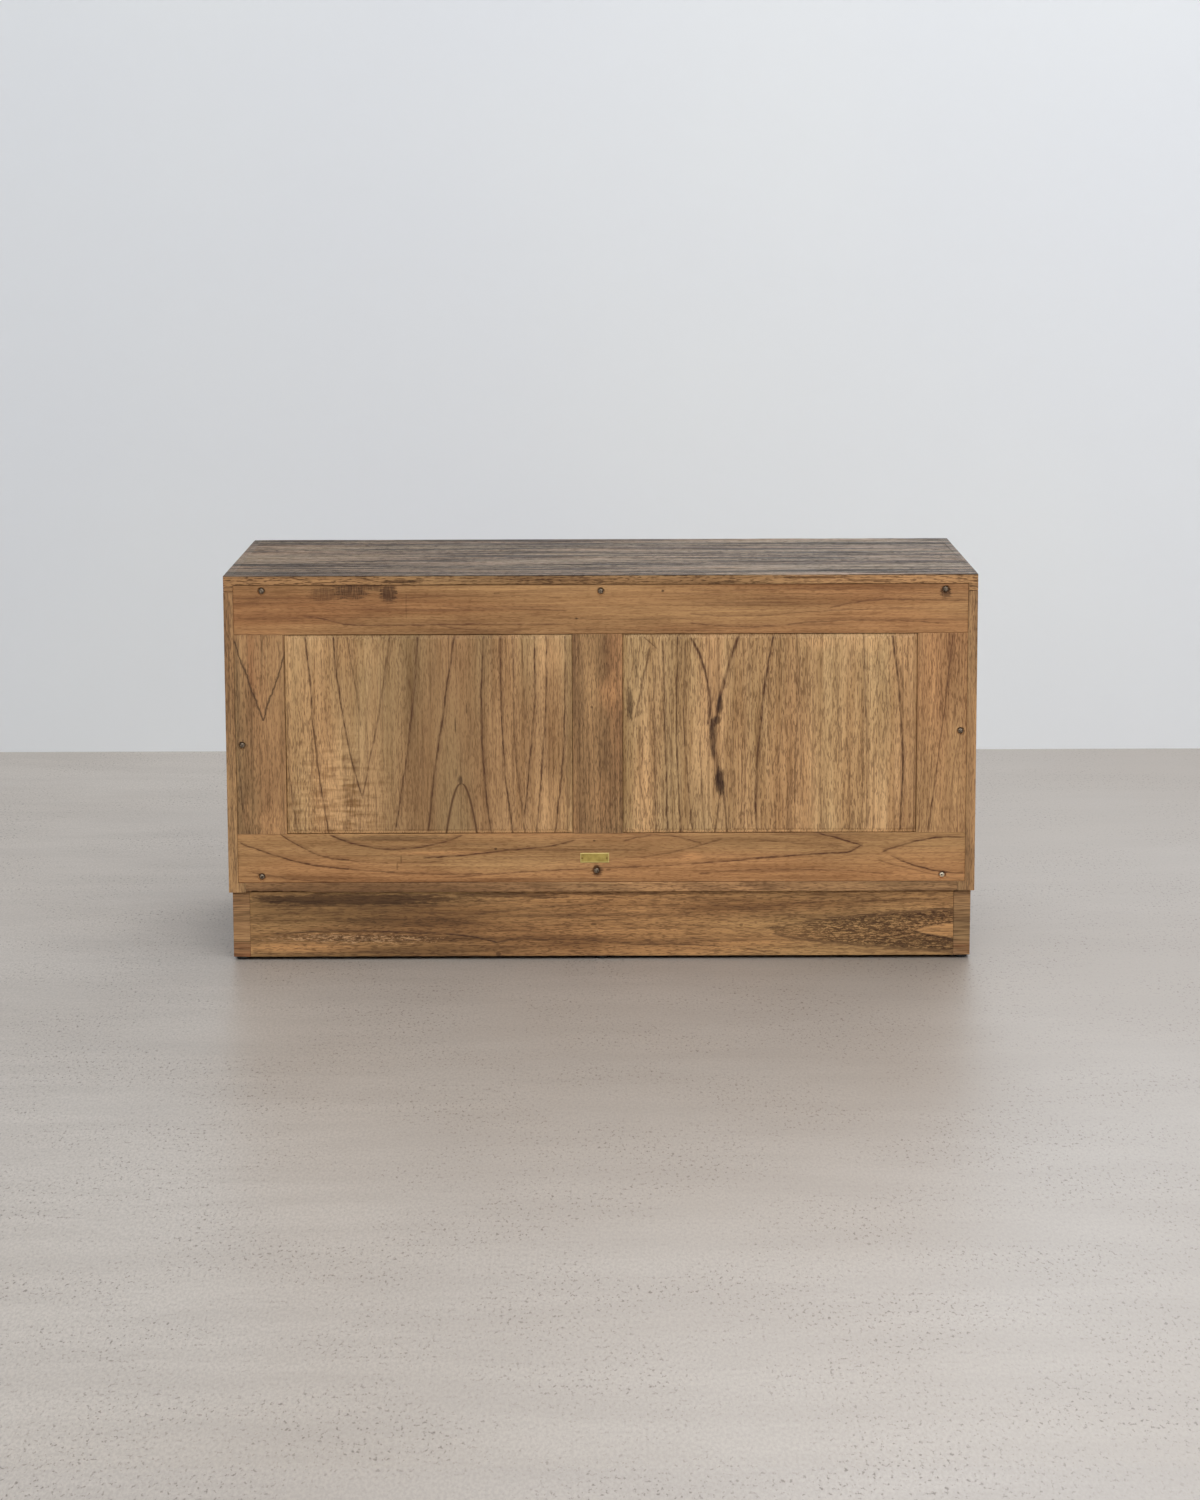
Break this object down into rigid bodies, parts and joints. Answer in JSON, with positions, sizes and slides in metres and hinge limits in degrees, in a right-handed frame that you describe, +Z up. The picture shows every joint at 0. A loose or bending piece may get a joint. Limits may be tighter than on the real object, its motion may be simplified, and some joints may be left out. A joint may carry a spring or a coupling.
{
  "type": "low cabinet",
  "caption": "Low freestanding cabinet of solid boards on a plinth, with a frame-and-panel back, drawers above hinged doors and round knobs.",
  "frame": {"origin": "on the floor, in the middle of the space that the cabinet takes up, knobs included", "axes": "+Z up; the doors and drawers face -Y and the framed back faces +Y; +X is on the right seen from the doors"},
  "size_m": [1.1, 0.526, 0.573],
  "materials": {
    "top_wood": "wire-brushed, oiled",
    "case_wood": "old board, oiled",
    "back_frame_wood": "old board, oiled",
    "back_panel_wood": "old board, oiled",
    "plinth_wood": "old board, oiled",
    "front_wood": "old board, oiled",
    "front_panel_wood": "old board, oiled",
    "inner_wood": "planed, unfinished",
    "brass": "aged satin",
    "screw_steel": "dark, dull",
    "strike_steel": "zinc plated",
    "catch_plastic": "matte brown",
    "glide_plastic": "matte black"
  },
  "bodies": {
    "carcass": {"back_bottom_rail": "back_frame_wood", "back_centre_muntin": "back_frame_wood", "back_left_panel": "back_panel_wood", "back_left_stile": "back_frame_wood", "back_right_panel": "back_panel_wood", "back_right_stile": "back_frame_wood", "back_screws": "screw_steel", "back_top_rail": "back_frame_wood", "bottom_board": "case_wood", "carcass_dowels": "inner_wood", "catch_magnets": "catch_plastic", "centre_partition": "front_wood", "floor_glides": "glide_plastic", "hinge_case_leaves": "brass", "hinge_pins": "brass", "left_drawer_rail": "front_wood", "left_drawer_runners": "inner_wood", "left_side": "case_wood", "nameplate": "brass", "nameplate_pins": "brass", "plinth_back": "plinth_wood", "plinth_corner_blocks": "inner_wood", "plinth_front": "plinth_wood", "plinth_left": "plinth_wood", "plinth_right": "plinth_wood", "plinth_screws": "screw_steel", "right_drawer_rail": "front_wood", "right_drawer_runners": "inner_wood", "right_side": "case_wood", "top_board": "top_wood"},
    "left_drawer": {"left_drawer_back": "inner_wood", "left_drawer_bottom": "inner_wood", "left_drawer_front": "front_wood", "left_drawer_knob": "brass", "left_drawer_left_side": "inner_wood", "left_drawer_right_side": "inner_wood"},
    "right_drawer": {"right_drawer_back": "inner_wood", "right_drawer_bottom": "inner_wood", "right_drawer_front": "front_wood", "right_drawer_knob": "brass", "right_drawer_left_side": "inner_wood", "right_drawer_right_side": "inner_wood"},
    "left_door": {"left_door_bottom_rail": "front_wood", "left_door_hinge_leaves": "brass", "left_door_hinge_stile": "front_wood", "left_door_knob": "brass", "left_door_meeting_stile": "front_wood", "left_door_panel": "front_panel_wood", "left_door_strike_plate": "strike_steel", "left_door_top_rail": "front_wood"},
    "right_door": {"right_door_bottom_rail": "front_wood", "right_door_hinge_leaves": "brass", "right_door_hinge_stile": "front_wood", "right_door_knob": "brass", "right_door_meeting_stile": "front_wood", "right_door_panel": "front_panel_wood", "right_door_strike_plate": "strike_steel", "right_door_top_rail": "front_wood"}
  },
  "joints": [
    {"name": "left_drawer_slide", "type": "slide", "parent": "carcass", "child": "left_drawer", "axis": [0, -1, 0], "range_m": [0, 0.33]},
    {"name": "left_door_hinge", "type": "hinge", "parent": "carcass", "child": "left_door", "pos_m": [-0.524, -0.2405, 0.272], "axis": [0, 0, -1], "range_deg": [0, 110]},
    {"name": "right_drawer_slide", "type": "slide", "parent": "carcass", "child": "right_drawer", "axis": [0, -1, 0], "range_m": [0, 0.33]},
    {"name": "right_door_hinge", "type": "hinge", "parent": "carcass", "child": "right_door", "pos_m": [0.524, -0.2405, 0.272], "axis": [0, 0, 1], "range_deg": [0, 110]}
  ]
}
